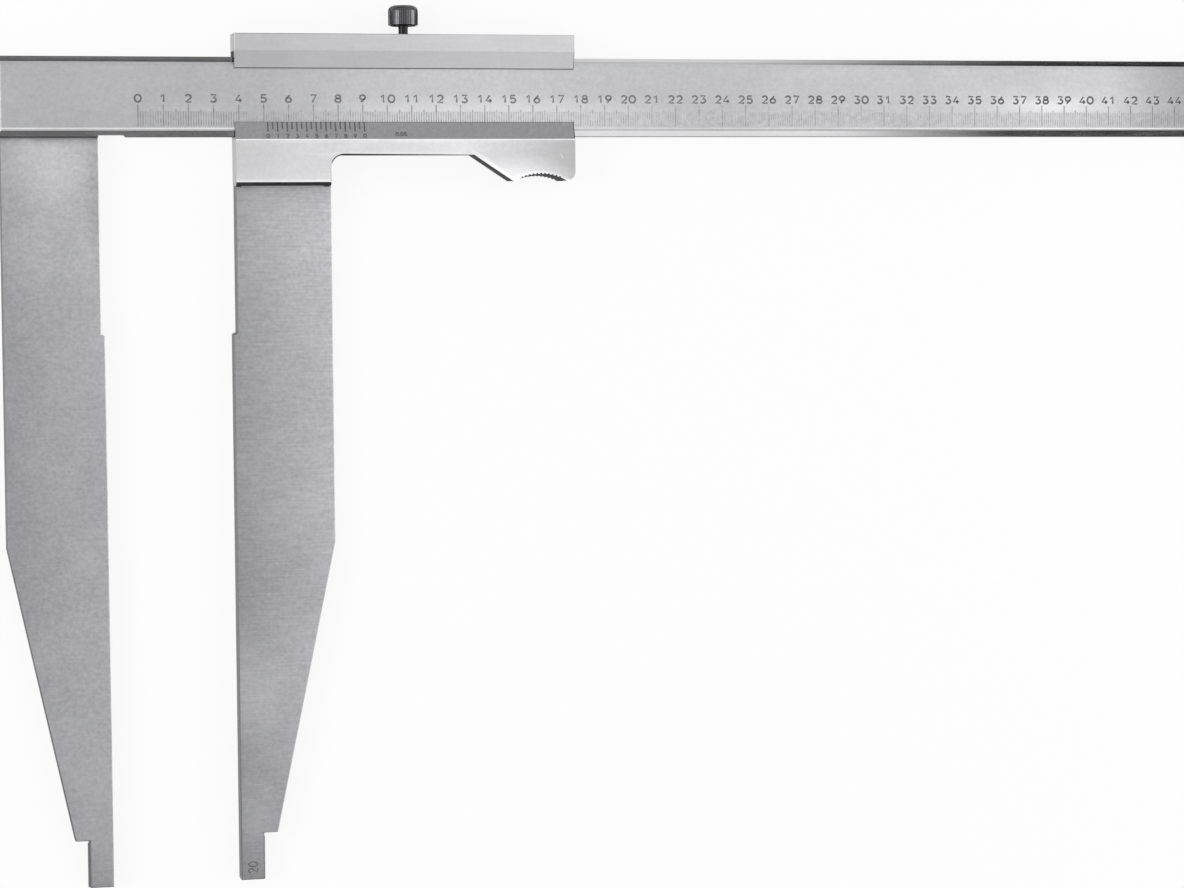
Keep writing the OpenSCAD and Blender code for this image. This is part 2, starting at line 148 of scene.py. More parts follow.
world = bpy.data.worlds.new("studio")
world.use_nodes = True
sky = world.node_tree
sky.nodes.clear()
as_lamp = add_node(sky, "ShaderNodeBackground", {"Color": (1, 1, 1, 1), "Strength": SKY_AS_LAMP})
as_seen = add_node(sky, "ShaderNodeBackground", {"Color": (1, 1, 1, 1), "Strength": 1})
both = add_node(sky, "ShaderNodeMixShader", {
    0: seen(sky), 1: as_lamp.outputs[0], 2: as_seen.outputs[0]})
add_node(sky, "ShaderNodeOutputWorld", {"Surface": both.outputs[0]})
bpy.context.scene.world = world
bpy.context.scene.view_settings.view_transform = "Standard"
print("world:", world.name)

# %% [markdown]
# The floor is a wide pale sheet under the caliper. Part of its white is its own, as
# the camera and reflections see it, and the rest is lit, so a faint shadow stays.

# %% Floor
FLOOR_HALF = 6.0
FLOOR_WHITE = 0.96
FLOOR_OWN_WHITE = 0.88


def new_material(name):
    """A new material with the default shader, and its node tree."""
    material = bpy.data.materials.new(name)
    material.use_nodes = True
    return material, material.node_tree


def stage_sheet(name, material, half_x, half_y, matrix):
    """A flat rectangle that belongs to the studio and not to the caliper."""
    bm = bmesh.new()
    size = Matrix.Diagonal((half_x, half_y, 1, 1))
    bmesh.ops.create_grid(bm, x_segments=1, y_segments=1, size=1, matrix=matrix @ size)
    mesh = bpy.data.meshes.new(name)
    bm.to_mesh(mesh)
    bm.free()
    mesh.materials.append(material)
    sheet = bpy.data.objects.new(name, mesh)
    bpy.context.scene.collection.objects.link(sheet)
    return sheet


paper, tree = new_material("white_paper")
tree.nodes.clear()
own_share = calculate(tree, "MULTIPLY", seen(tree), FLOOR_OWN_WHITE)
lit = add_node(tree, "ShaderNodeBsdfDiffuse", {"Color": (FLOOR_WHITE, FLOOR_WHITE, FLOOR_WHITE, 1)})
own = add_node(tree, "ShaderNodeEmission", {"Color": (1, 1, 1, 1), "Strength": 1})
both = add_node(tree, "ShaderNodeMixShader", {0: own_share, 1: lit.outputs[0], 2: own.outputs[0]})
add_node(tree, "ShaderNodeOutputMaterial", {"Surface": both.outputs[0]})
floor = stage_sheet("floor", paper, FLOOR_HALF, FLOOR_HALF, Matrix.Identity(4))
print("floor:", floor.dimensions)

# %% [markdown]
# Steel has almost no colour of its own. It looks like what it reflects, so in a white
# room it would look like paper. A photographer puts cards beside it, out of the
# picture, and the bevels pick them up as dark lines. The cards here are seen by
# reflections only. Each is grey on the left and black on the right, and white in the
# gap between, where the bevels turn white. The black comes in slowly, as on graded
# paper. One card stands above the beam, one below the tips, and one lies flat.

# %% Dark cards beside the caliper
CARD_GAP_START = 170 * MM
LEFT_CARD_TONE = 0.16
CARD_REACH = 900 * MM
CARD_H = 130 * MM
FLAT_CARD_Y = (120 * MM, 420 * MM)
FLAT_CARD_Z = 1 * MM
LOWER_CARD_GAP = 40 * MM
UPPER_FADE = (365 * MM, 450 * MM)
LOWER_FADE = (410 * MM, 500 * MM)


def remap(tree, value, low, high, to_low, to_high):
    """The value, spread from one range to another and held inside it."""
    return add_node(tree, "ShaderNodeMapRange", {
        "Value": value, "From Min": low, "From Max": high, "To Min": to_low, "To Max": to_high,
    }).outputs[0]


def coordinate(tree, axis):
    """One coordinate of the point on its piece, 0 for X, 1 for Y, 2 for Z."""
    place = add_node(tree, "ShaderNodeTexCoord", {})
    return add_node(tree, "ShaderNodeSeparateXYZ", {0: place.outputs["Object"]}).outputs[axis]


def graded_card(name, fade):
    """A card that is grey on the left, white in the gap and fades to black on the right."""
    material, tree = new_material(name)
    tree.nodes.clear()
    x = coordinate(tree, 0)
    left = remap(tree, x, CARD_GAP_START - 1 * MM, CARD_GAP_START, LEFT_CARD_TONE, 1)
    white = calculate(tree, "MULTIPLY", left, remap(tree, x, fade[0], fade[1], 1, 0))
    glow = add_node(tree, "ShaderNodeEmission", {"Color": (1, 1, 1, 1), "Strength": white})
    add_node(tree, "ShaderNodeOutputMaterial", {"Surface": glow.outputs[0]})
    return material


def card(name, material, half_x, half_y, matrix):
    """A card that only reflections see."""
    sheet = stage_sheet(name, material, half_x, half_y, matrix)
    sheet.visible_camera = False
    sheet.visible_diffuse = False
    sheet.visible_shadow = False
    sheet.visible_transmission = False
    return sheet


card_mid_x = (UPPER_FADE[0] + CARD_GAP_START) / 2
upright = Matrix.Rotation(math.pi / 2, 4, "X")
upper_card = graded_card("upper_card", UPPER_FADE)
lower_card = graded_card("lower_card", LOWER_FADE)
card("card_upper", upper_card, CARD_REACH, CARD_H / 2,
     Matrix.Translation((card_mid_x, FLAT_CARD_Y[1], CARD_H / 2)) @ upright)
card("card_lower", lower_card, CARD_REACH, CARD_H / 2,
     Matrix.Translation((card_mid_x, cad_low.y - LOWER_CARD_GAP, CARD_H / 2)) @ upright)
card("card_flat", upper_card, CARD_REACH, (FLAT_CARD_Y[1] - FLAT_CARD_Y[0]) / 2,
     Matrix.Translation((card_mid_x, sum(FLAT_CARD_Y) / 2, FLAT_CARD_Z)))
print("card length in mm:", round(2 * CARD_REACH / MM), "middle at:", round(card_mid_x / MM, 1))

# %% [markdown]
# The round knob would mirror the bright floor on both sides and look pale at its rim.
# A black card lies flat under it, so that its rim stays dark.

# %% Card under the knob
KNOB_CARD_L = 240 * MM
KNOB_CARD_SPARE = 1.5 * MM
KNOB_CARD_Z = 0.5 * MM

black_card, tree = new_material("black_card")
sockets = tree.nodes["Principled BSDF"].inputs
sockets["Base Color"].default_value = (0.01, 0.01, 0.01, 1)
sockets["Roughness"].default_value = 0.9
knob_low, knob_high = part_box("lock_knob")
knob_mid = (knob_low + knob_high) / 2
half_y = (knob_high.y - knob_low.y) / 2 + KNOB_CARD_SPARE
card("card_under_knob", black_card, KNOB_CARD_L / 2, half_y,
     Matrix.Translation((knob_mid.x, knob_mid.y, KNOB_CARD_Z)))

# %% [markdown]
# Two soft lamps lie left and right of the caliper, long along its Y. They draw two
# bright bands on the black knob. Their heights set where on the knob the bands fall,
# and their widths set how wide the bands are. An area lamp's power in watts follows
# from the brightness that it should show and from its size.

# %% Lamps
LAMP_L = 0.9
LAMP_AIM = Vector((0.12, 0, 0))


def area_lamp(name, place, width, brightness):
    """A soft lamp that faces the caliper, as bright as a white of that level."""
    data = bpy.data.lights.new(name, "AREA")
    data.shape = "RECTANGLE"
    data.size = LAMP_L
    data.size_y = width
    data.energy = brightness * math.pi * LAMP_L * width
    lamp = bpy.data.objects.new(name, data)
    lamp.location = place
    lamp.rotation_mode = "QUATERNION"
    out = (place - LAMP_AIM).normalized()
    across = Vector((0, 1, 0))
    tilt = Matrix((across, out.cross(across), out)).transposed().to_quaternion()
    lamp.rotation_quaternion = tilt
    bpy.context.scene.collection.objects.link(lamp)
    print(name, "power in watts:", round(data.energy, 1))
    return lamp


area_lamp("left_lamp", Vector((-1.2, 0, 0.85)), width=0.8, brightness=4)
area_lamp("right_lamp", Vector((1.5, 0, 0.42)), width=0.6, brightness=4.5)

# %% [markdown]
# Steel is never even. A grinding wheel leaves streaks, and hands leave clouds and rubbed
# places. All of these are noise on Object coordinates, so they sit still on a piece
# that moves. A Mapping node squeezes the noise across the streaks, which makes them
# long and thin. Noise seldom leaves its middle range, so that range is spread out.

# %% Streaks of noise
USUAL_NOISE = (0.3, 0.7)
NOISE_ROUGHNESS = 0.55


def stretched_noise(tree, length, width, along, detail, turn=0.0):
    """Noise in long streaks along X (0) or Y (1) of the piece, turned by an angle."""
    place = add_node(tree, "ShaderNodeTexCoord", {})
    turned = add_node(tree, "ShaderNodeMapping", {
        "Vector": place.outputs["Object"], "Rotation": (0, 0, turn)})
    scale = [1 / width] * 3
    scale[along] = 1 / length
    squeezed = add_node(tree, "ShaderNodeMapping", {
        "Vector": turned.outputs[0], "Scale": scale})
    noise = add_node(tree, "ShaderNodeTexNoise", {
        "Vector": squeezed.outputs[0], "Scale": 1, "Detail": detail,
        "Roughness": NOISE_ROUGHNESS})
    return noise.outputs["Fac"]


def spread(tree, noise, low, high):
    """Noise, spread from the range that it mostly keeps to another one."""
    return remap(tree, noise, *USUAL_NOISE, low, high)


# %% [markdown]
# Two more helpers change the tone of a piece in places, mostly to paint light and shade
# on it: pale and dark stretches, highlights and shadows. One changes the tone along a
# piece by a list of (mm, factor) stops, and the line of a stop can be made uneven. The
# other lays a soft oval spot on it, by place, turn, length and width.

# %% Tones and spots
WOBBLE_L = 9 * MM


def tone_along(tree, axis, stops, wobble=0.0):
    """A factor along one axis of the piece, straight from one (mm, factor) stop to the next."""
    where = coordinate(tree, axis)
    if wobble:
        uneven = stretched_noise(tree, WOBBLE_L, WOBBLE_L, 0, 3)
        where = calculate(tree, "ADD", where, spread(tree, uneven, -wobble, wobble))
    factor = stops[0][1]
    for (start, low), (end, high) in zip(stops, stops[1:]):
        step = remap(tree, where, start * MM, end * MM, 0, high - low)
        factor = calculate(tree, "ADD", factor, step)
    return factor


def spot(tree, x, y, turn, length, width, strength, inner=0.2):
    """A soft oval in mm, full strength up to its inner share and nothing outside it."""
    place = add_node(tree, "ShaderNodeTexCoord", {})
    centred = add_node(tree, "ShaderNodeMapping", {
        "Vector": place.outputs["Object"], "Location": (x * MM, y * MM, 0),
        "Rotation": (0, 0, turn), "Scale": (length / 2 * MM, width / 2 * MM, 1)},
        vector_type="TEXTURE")
    distance = add_node(tree, "ShaderNodeVectorMath", {0: centred.outputs[0]}, operation="LENGTH")
    return remap(tree, distance.outputs["Value"], inner, 1, strength, 0)


# %% [markdown]
# Ground steel carries long streaks, finer ones between them, soft clouds where it was
# handled, a fine grain and a few scratches at a slant. The same noise drives the
# colour and the roughness, and the fine streaks also a tiny bump, so all stay in step.

# %% Steel material
STREAK_L = 12 * MM
STREAK_W = 0.8 * MM
FINE_STREAK_L = 4 * MM
FINE_STREAK_W = 0.15 * MM
CLOUD_L = 24 * MM
GRAIN_L = 1.5 * MM
SCRATCH_L = 30 * MM
SCRATCH_W = 0.25 * MM
SCRATCH_TURN = 0.5
SCRATCH_NOISE = (0.7, 0.8)
ROUGHER_STREAKS = (0.87, 1.13)
ROUGHER_CLOUDS = (0.92, 1.08)
GROUND_DEPTH = 0.02 * MM


def steel(name, color, roughness, along=0, streaks=0.05, clouds=0.05, grain=0.02, scratches=0.1,
          bump=0.15, tones=(), spots=()):
    """Ground or satin steel. Streaks to bump say how strongly each kind of mark shows."""
    material, tree = new_material(name)
    shader = tree.nodes["Principled BSDF"]
    shader.inputs["Metallic"].default_value = 1
    coarse = stretched_noise(tree, STREAK_L, STREAK_W, along, 3)
    fine = stretched_noise(tree, FINE_STREAK_L, FINE_STREAK_W, along, 2)
    cloud = stretched_noise(tree, CLOUD_L, CLOUD_L, along, 4)
    speck = stretched_noise(tree, GRAIN_L, GRAIN_L, along, 2)
    scratch = stretched_noise(tree, SCRATCH_L, SCRATCH_W, along, 1, turn=SCRATCH_TURN)
    tone = spread(tree, coarse, 1 - streaks, 1 + streaks)
    for noise, share in ((cloud, clouds), (fine, streaks / 2), (speck, grain)):
        tone = calculate(tree, "ADD", tone, spread(tree, noise, -share, share))
    tone = calculate(tree, "ADD", tone, remap(tree, scratch, *SCRATCH_NOISE, 0, scratches))
    # Tones and spots, where a piece has them, are painted light and shade.
    for shape in spots:
        tone = calculate(tree, "ADD", tone, spot(tree, *shape))
    for change in tones:
        tone = calculate(tree, "MULTIPLY", tone, tone_along(tree, *change))
    tinted = add_node(tree, "ShaderNodeVectorMath", {0: color, "Scale": tone}, operation="SCALE")
    tree.links.new(tinted.outputs[0], shader.inputs["Base Color"])
    rough = calculate(tree, "MULTIPLY", roughness, spread(tree, coarse, *ROUGHER_STREAKS))
    rough = calculate(tree, "MULTIPLY", rough, spread(tree, cloud, *ROUGHER_CLOUDS))
    tree.links.new(rough, shader.inputs["Roughness"])
    relief = add_node(tree, "ShaderNodeBump", {
        "Height": fine, "Strength": bump, "Distance": GROUND_DEPTH})
    tree.links.new(relief.outputs[0], shader.inputs["Normal"])
    return material


soft_edge = steel("soft_edge", (0.5, 0.5, 0.51), 0.35, streaks=0.05, clouds=0.06, scratches=0)
# The sides of the jaws, block and rail are painted dark, as painted shade.
shaded_side = steel("shaded_side", (0.12, 0.12, 0.125), 0.45, streaks=0.06, clouds=0.1)
print("steels:", soft_edge.name, shaded_side.name)

# %% [markdown]
# Black oxide is a thin dark skin on steel. It is not quite black, and it gets a soft
# shine where fingers polish it. The same helper also paints shade: faces in hollows and
# under edges, and some chamfers, are made near black, matt and hardly mirroring, as
# painted shade.

# %% Black oxide material
RUBBED_L = 3 * MM
OXIDE_GRAIN_L = 0.15 * MM
OXIDE_DEPTH = 0.01 * MM
OXIDE_BUMP = 0.1
GRAIN_SHARE = 0.4


def black_oxide(name, color, roughness, metallic, specular, rubbed=0.35):
    """Dark oxidised steel with patches that are rubbed by that share."""
    material, tree = new_material(name)
    shader = tree.nodes["Principled BSDF"]
    shader.inputs["Metallic"].default_value = metallic
    shader.inputs["Specular IOR Level"].default_value = specular
    rub = stretched_noise(tree, RUBBED_L, RUBBED_L, 0, 4)
    grain = stretched_noise(tree, OXIDE_GRAIN_L, OXIDE_GRAIN_L, 0, 2)
    tone = calculate(tree, "ADD", spread(tree, rub, 1 - rubbed, 1 + rubbed),
                     spread(tree, grain, -GRAIN_SHARE * rubbed, GRAIN_SHARE * rubbed))
    tinted = add_node(tree, "ShaderNodeVectorMath", {0: color, "Scale": tone}, operation="SCALE")
    tree.links.new(tinted.outputs[0], shader.inputs["Base Color"])
    polish = spread(tree, rub, 1 + rubbed / 2, 1 - rubbed / 2)
    tree.links.new(calculate(tree, "MULTIPLY", polish, roughness), shader.inputs["Roughness"])
    relief = add_node(tree, "ShaderNodeBump", {
        "Height": grain, "Strength": OXIDE_BUMP, "Distance": OXIDE_DEPTH})
    tree.links.new(relief.outputs[0], shader.inputs["Normal"])
    return material


# Painted shade: near black for faces in hollows and under edges, and for dark chamfers.
shaded_recess = black_oxide("shaded_recess", (0.036, 0.036, 0.037), 0.6, 0, 0.05)
shadow_edge = black_oxide("shadow_edge", (0.05, 0.05, 0.052), 0.6, 0, 0.1)
print("blacks:", shaded_recess.name, shadow_edge.name)

# %% [markdown]
# Each solid arrives as loose triangles. A copy is merged into flat faces first, and
# then its sharp edges are broken with a narrow chamfer, as a fitter does with a stone.
# Edges that catch the light are what makes steel look solid. A face is told by its
# normal: it faces an axis, leans to it, or is only turned a little that way.

# %% Copies with broken edges
MERGE_DISTANCE = 0.001 * MM
FLAT_ANGLE = math.radians(0.3)
SHARP_ANGLE = math.radians(20)
FACING = 0.99
LEANING = 0.5
TURNED = 0.3


def merged_copy(node):
    """A solid's mesh with its triangles joined into flat faces."""
    bm = bmesh.new()
    bm.from_mesh(frame["nodes"][node].data)
    bmesh.ops.remove_doubles(bm, verts=bm.verts, dist=MERGE_DISTANCE)
    bmesh.ops.dissolve_limit(bm, angle_limit=FLAT_ANGLE, verts=bm.verts, edges=bm.edges)
    return bm


def break_edges(bm, width, wanted, material_index):
    """Chamfers the sharp outside edges that wanted() picks, paints the chamfers, returns them."""
    edges = [
        e for e in bm.edges
        if e.is_manifold and e.calc_face_angle_signed(0) > SHARP_ANGLE and wanted(e)
    ]
    made = bmesh.ops.bevel(
        bm, geom=edges, offset=width, offset_type="OFFSET", affect="EDGES", segments=1,
        profile=0.5, material=-1, clamp_overlap=True)
    bm.normal_update()
    for face in made["faces"]:
        face.material_index = material_index
    print("edges broken:", len(edges), "by mm:", round(width / MM, 2))
    return made["faces"]


def on_plane(edge, axis, value, tolerance=0.01 * MM):
    """True if both ends of the edge lie on that plane."""
    return all(abs(v.co[axis] - value) < tolerance for v in edge.verts)


# %% [markdown]
# A finished piece is an object at the origin with its place in its mesh, as a solid
# is. A piece that stands in for a solid rides on the same body, and the record says
# which body that is.

# %% Pieces that ride on a body
BODY_OF = {
    node: body for body, nodes in frame["record"]["behaviour"]["bodies"].items() for node in nodes
}
SLOT_OF = {part["node"]: part["material_slot"] for part in frame["record"]["subparts"]}
print("solids:", len(BODY_OF), "slots:", sorted(set(SLOT_OF.values())))


def make_piece(name, bm, body, materials, round_shape=False):
    """An object at the origin that rides on a body, with its place in its mesh."""
    mesh = bpy.data.meshes.new(name)
    bm.to_mesh(mesh)
    bm.free()
    for material in materials:
        mesh.materials.append(material)
    if round_shape:
        mesh.shade_smooth()
        mesh.set_sharp_from_angle(angle=SHARP_ANGLE)
    else:
        mesh.shade_flat()
    piece = bpy.data.objects.new(name, mesh)
    bpy.context.scene.collection.objects.link(piece)
    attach(piece, body)
    print(name, "faces:", len(mesh.polygons), "mm:", [round(d / MM, 1) for d in piece.dimensions])
    return piece


def stand_in(name, bm, node, materials, round_shape=False):
    """A piece that is shown in place of a solid, on its body and with its finish."""
    piece = make_piece(name, bm, BODY_OF[node], materials, round_shape)
    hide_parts(node)
    return piece


# %% [markdown]
# The beam is one long ground bar. Its front is satin, so that the marks can be read
# without glare, and the four long bevels are ground brighter, with a fine grey line
# along the upper one. Its front carries painted highlights, the largest near 40 cm, and
# painted shade towards both ends, and its lower margin a painted highlight, strongest
# near 40 cm. The edges below the front carry painted shade that darkens to the right,
# and the corner below them a painted reflection, dark with a pale stretch from 19 to 33 cm.

# %% Beam finishes
# Painted light on the beam's front: highlights, the largest near 40 cm, and shade towards both ends.
beam_painted_light = [(-40, 0.8), (60, 0.85), (80, 0.89), (99, 1.0), (120, 1.05), (160, 1.06), (190, 1.02),
              (215, 0.97), (262, 0.96), (282, 1.01), (370, 1.04), (400, 1.08), (425, 1.06), (444, 0.85),
              (456, 0.76), (480, 0.74), (655, 0.9)]
beam_highlights = [(395, 10, 0, 120, 26, 0.14), (396, 13, 0, 60, 9, 0.2), (160, 8, 0, 170, 20, 0.2, 0.4),
              (34, 8, 0, 60, 16, 0.07, 0.5)]
satin_beam = steel("satin_beam", (0.545, 0.545, 0.56), 0.34, streaks=0.02, clouds=0.035,
                   grain=0.05, tones=[(0, beam_painted_light)], spots=beam_highlights)
bevel_tones = [(28.9, 1.0), (29.1, 0.85), (29.6, 0.85), (30.0, 0.66), (30.4, 0.66), (30.8, 0.85)]
ground_bevel = steel("ground_bevel", (0.72, 0.72, 0.73), 0.14, streaks=0.02, clouds=0.03,
                     scratches=0.03, bump=0, tones=[(1, bevel_tones)])
# A painted highlight along the lower margin, strongest near 40 cm.
margin_highlight_tones = [(-40, 1.0), (100, 1.0), (180, 0.92), (300, 0.92), (390, 1.25), (430, 1.2), (455, 1.0)]
margin_highlight = steel("margin_highlight", (0.7, 0.7, 0.71), 0.3, scratches=0, tones=[(0, margin_highlight_tones)])
# Painted shade on the lower edge chamfers, darker to the right.
edge_shade_tones = [(-40, 1.0), (190, 0.9), (330, 0.7), (455, 0.5)]
shaded_beam_edge = steel("shaded_beam_edge", (0.5, 0.5, 0.51), 0.35, scratches=0, tones=[(0, edge_shade_tones)])
# A painted reflection on the lower corner: dark, pale from 19 to 33 cm, then dark again.
corner_reflection_tones = [(-40, 0.55), (-1, 0.55), (14, 0.3), (170, 0.3), (190, 1.0), (330, 0.9), (400, 0.25)]
beam_corner_reflection = steel("beam_corner_reflection", (0.36, 0.36, 0.365), 0.4, scratches=0, tones=[(0, corner_reflection_tones)])
print("beam finishes:", satin_beam.name, ground_bevel.name, margin_highlight.name)

# %% [markdown]
# The front's upper edge gets a wide satin chamfer and its lower edge a narrow one, and
# the corner between the lower bevel and the guide edge is broken wide. Each group of
# edges goes in by itself, so that one width doesn't hold back another. A cut along the
# bar then parts the margin with its painted highlight from the rest of the front.

# %% Beam
beam_low, beam_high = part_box("beam")
BEAM_FACE_Z = beam_high.z
BEAM_MID_Y = (beam_low.y + beam_high.y) / 2
BEAM_EDGE_W = 0.3 * MM
BEAM_UPPER_EDGE_W = 0.75 * MM
BEAM_CORNER_W = 0.8 * MM
MARGIN_TOP_Y = 3.75 * MM
FRONT, BEVEL, MARGIN, EDGE, CORNER = range(5)


def lower_corner(edge):
    """True for an edge between the beam's lower bevel and its lower guide edge."""
    normals = [face.normal for face in edge.link_faces]
    guide = any(n.y < -FACING for n in normals)
    return guide and any(n.y < -LEANING and n.z > LEANING for n in normals)


bm = merged_copy("beam")
for face in bm.faces:
    face.material_index = FRONT if face.normal.z > FACING else BEVEL
break_edges(
    bm, BEAM_UPPER_EDGE_W,
    lambda e: on_plane(e, 2, BEAM_FACE_Z) and e.verts[0].co.y > BEAM_MID_Y, FRONT)
break_edges(
    bm, BEAM_EDGE_W,
    lambda e: on_plane(e, 2, BEAM_FACE_Z) and max(v.co.y for v in e.verts) < BEAM_MID_Y, EDGE)
break_edges(bm, BEAM_CORNER_W, lower_corner, CORNER)
bmesh.ops.bisect_plane(
    bm, geom=list(bm.faces) + list(bm.edges) + list(bm.verts), dist=MERGE_DISTANCE,
    plane_co=(0, MARGIN_TOP_Y, 0), plane_no=(0, 1, 0))
for face in bm.faces:
    if face.material_index == FRONT and face.calc_center_median().y < MARGIN_TOP_Y:
        face.material_index = MARGIN
stand_in("beam_bar", bm, "beam",
         [satin_beam, ground_bevel, margin_highlight, shaded_beam_edge, beam_corner_reflection])

# %% [markdown]
# The jaws are surface ground across their width, which leaves streaks along X. Each
# jaw also has its own list of painted light and shade: paler and darker stretches and
# spots, painted shade just below the slider on the moving jaw, and an uneven painted
# shadow under the beam on the fixed jaw.

# %% Jaw finishes
# Painted light and shade on the fixed jaw: darker at its left edge, lighter near the beam.
fixed_painted_light = [
    (0, [(-40, 0.86), (-22, 0.99), (0, 1.08)]),
    (1, [(-300, 1.0), (-190, 0.97), (-150, 0.93), (-107, 0.97), (-67, 0.99), (-50, 1.1), (-10, 1.17)]),
    # A painted shadow under the beam, with an uneven edge.
    (1, [(-3.8, 1.0), (-1.8, 0.88), (-0.3, 0.55)], 0.7 * MM),
]
# Painted light and shade spots on the fixed jaw.
fixed_painted_spots = [(-24, -9, 0, 40, 44, 0.22), (2, -20, 0, 20, 90, -0.25), (-20, -50, 0, 40, 50, 0.04)]
moving_painted_light = [
    # Painted light and shade on the moving jaw: darker to the left, lighter to the right.
    (0, [(51, 0.8), (58, 0.87), (70, 1.0), (91, 1.2)]),
    (1, [(-300, 1.06), (-262, 0.98), (-225, 1.1), (-185, 0.98), (-70, 1.05), (-48, 1.14), (-30, 1.15),
         (-20.5, 1.02)]),
]
# Painted highlights on the moving jaw.
moving_highlights = [(62.5, -263.2, 0.5, 5, 1.4, 0.2), (54, -222, 0, 40, 50, 0.2), (56, -274, 0, 26, 40, 0.22),
                (60, -22, 0, 24, 20, 0.08)]
jaw_grey = (0.38, 0.38, 0.39)
# Painted shade for the chamfers that look left and those of the tips.
shaded_jaw_edge = steel("shaded_jaw_edge", (0.19, 0.19, 0.195), 0.4, streaks=0.05, clouds=0.06, scratches=0)
fixed_face = steel("ground_fixed_jaw", jaw_grey, 0.4, streaks=0.045, clouds=0.06, grain=0.09,
                   tones=fixed_painted_light, spots=fixed_painted_spots)
moving_face = steel("ground_moving_jaw", jaw_grey, 0.4, streaks=0.085, clouds=0.05, grain=0.08,
                    tones=moving_painted_light, spots=moving_highlights)
print("jaw finishes:", fixed_face.name, moving_face.name, shaded_jaw_edge.name)

# %% [markdown]
# Both jaws are made by one function. Their sides are painted darker than their faces,
# as painted shade, and a stone has broken the front outline. The chamfers that look
# left and those of the slim tips are painted dark, as painted shade, and the others are
# a little paler than the face.

# %% Jaws
JAW_EDGE_W = 0.35 * MM
SHORTEST_EDGE = 0.5 * MM
TIP_TOP_Y = -281 * MM
GROUND, FLANK, DARK_EDGE, SOFT_EDGE = range(4)


def jaw_piece(node, face_finish):
    """A jaw with ground faces, sides painted dark as shade, and its front outline broken."""
    bm = merged_copy(node)
    front_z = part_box(node)[1].z
    for face in bm.faces:
        face.material_index = GROUND if abs(face.normal.z) > FACING else FLANK
    chamfers = break_edges(
        bm, JAW_EDGE_W,
        lambda e: on_plane(e, 2, front_z) and e.calc_length() > SHORTEST_EDGE, SOFT_EDGE)
    for face in chamfers:
        if face.normal.x < -TURNED or face.calc_center_median().y < TIP_TOP_Y:
            face.material_index = DARK_EDGE
    return stand_in(node + "_plate", bm, node, [face_finish, shaded_side, shaded_jaw_edge, soft_edge])


jaw_piece("fixed_jaw", fixed_face)
jaw_piece("moving_jaw", moving_face)

# %% [markdown]
# The slider's lower block has several finishes on one solid: satin on the front, a
# matt slope for the vernier so that its fine lines stay readable, and pale milled ends.
# The thumb rest and the bevel over the jaw are painted near black, as painted shade. The
# front carries painted highlights along the lower edge, near the slope's foot, on the
# thumb slope and round the rim of the hollow, and painted shade towards both ends.

# %% Slider block finishes
# Painted light and shade on the block's front: highlights at the lower edge and slope foot, shade at both
# ends.
block_painted_light = [
    (0, [(52, 0.87), (90, 1.03), (145, 1.18), (160, 1.03), (172, 0.95), (180, 0.85), (191, 0.72)]),
    (1, [(-18.1, 1.32), (-17.4, 1.24), (-16.6, 1.05), (-12, 1.0), (-2.4, 1.0), (-1.8, 1.08)]),
]
# Painted highlights at the thumb's corner and slope, round the hollow and under the vernier.
block_highlights = [
    (185.4, -7.8, -1.07, 3, 0.7, 0.35), (157.4, -12.2, -0.63, 26, 3.2, 0.35),
    (176.7, -36.84, 0, 46.6, 46.6, 0.4, 0.94), (112, -6.8, 0, 80, 2.4, 0.12),
    (170, -19, 0, 50, 24, 0.5, 0),
]
satin_block = steel("satin_block", (0.66, 0.66, 0.67), 0.36, streaks=0.02, clouds=0.03,
                    grain=0.035, tones=block_painted_light, spots=block_highlights)
matt_vernier = steel("matt_vernier", (0.305, 0.3, 0.31), 0.5, streaks=0.03, clouds=0.03,
                     grain=0.07, scratches=0)
# A painted line of shade round the vernier slope.
shaded_vernier_rim = steel("shaded_vernier_rim", (0.24, 0.24, 0.245), 0.5, streaks=0.04, clouds=0.06, scratches=0)
# The milled ends are painted darker beside the beam, as painted shade.
end_shade_tones = [(-1.2, 1.0), (-0.6, 0.7), (34, 0.7), (34.8, 1.0)]
milled_end = steel("milled_end", (0.44, 0.44, 0.45), 0.4, clouds=0.06, tones=[(1, end_shade_tones)])
# A painted highlight for chamfers at the thumb's corner and along the slope's foot.
highlight_edge = steel("highlight_edge", (0.92, 0.92, 0.92), 0.3, streaks=0.04, clouds=0.06, scratches=0)
print("block finishes:", satin_block.name, matt_vernier.name, shaded_vernier_rim.name, milled_end.name)

# %% [markdown]
# One solid carries all these finishes, so something must tell its faces apart. Here
# that is each face's normal and its place along X. A chamfer is told by where it is
# and where it looks: a painted highlight at the thumb's corner, painted shade below,
# satin at the left end and soft elsewhere.

# %% Faces and edges of the block
FRONT, SLOPE, END, BLACK, SIDE, SOFT, DARK, BRIGHT, RIM = range(9)
LOW_EDGE_X = (90.6 * MM, 149 * MM)
THUMB_CORNER_X = 185 * MM
HOLLOW_LEAN = (0.03, 0.5)
LEFTWARD = 0.6
block_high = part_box("slider_block")[1]
jaw_low, jaw_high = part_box("moving_jaw")


def block_finish(face):
    """Index of the finish on one face of the slider block."""
    normal = face.normal
    if normal.z > FACING:
        return FRONT
    if normal.z > LEANING:
        return SLOPE if normal.y > 0 else BLACK
    if normal.x < -FACING:
        return END
    beyond_jaw = face.calc_center_median().x > jaw_high.x
    return BLACK if normal.y < -TURNED and beyond_jaw else SIDE


def block_edge_finish(face):
    """Index of the finish on one chamfer round the block's front."""
    if face.calc_center_median().x > THUMB_CORNER_X:
        return BRIGHT
    if face.normal.y < -TURNED:
        return DARK
    return FRONT if face.normal.x < -LEFTWARD else SOFT


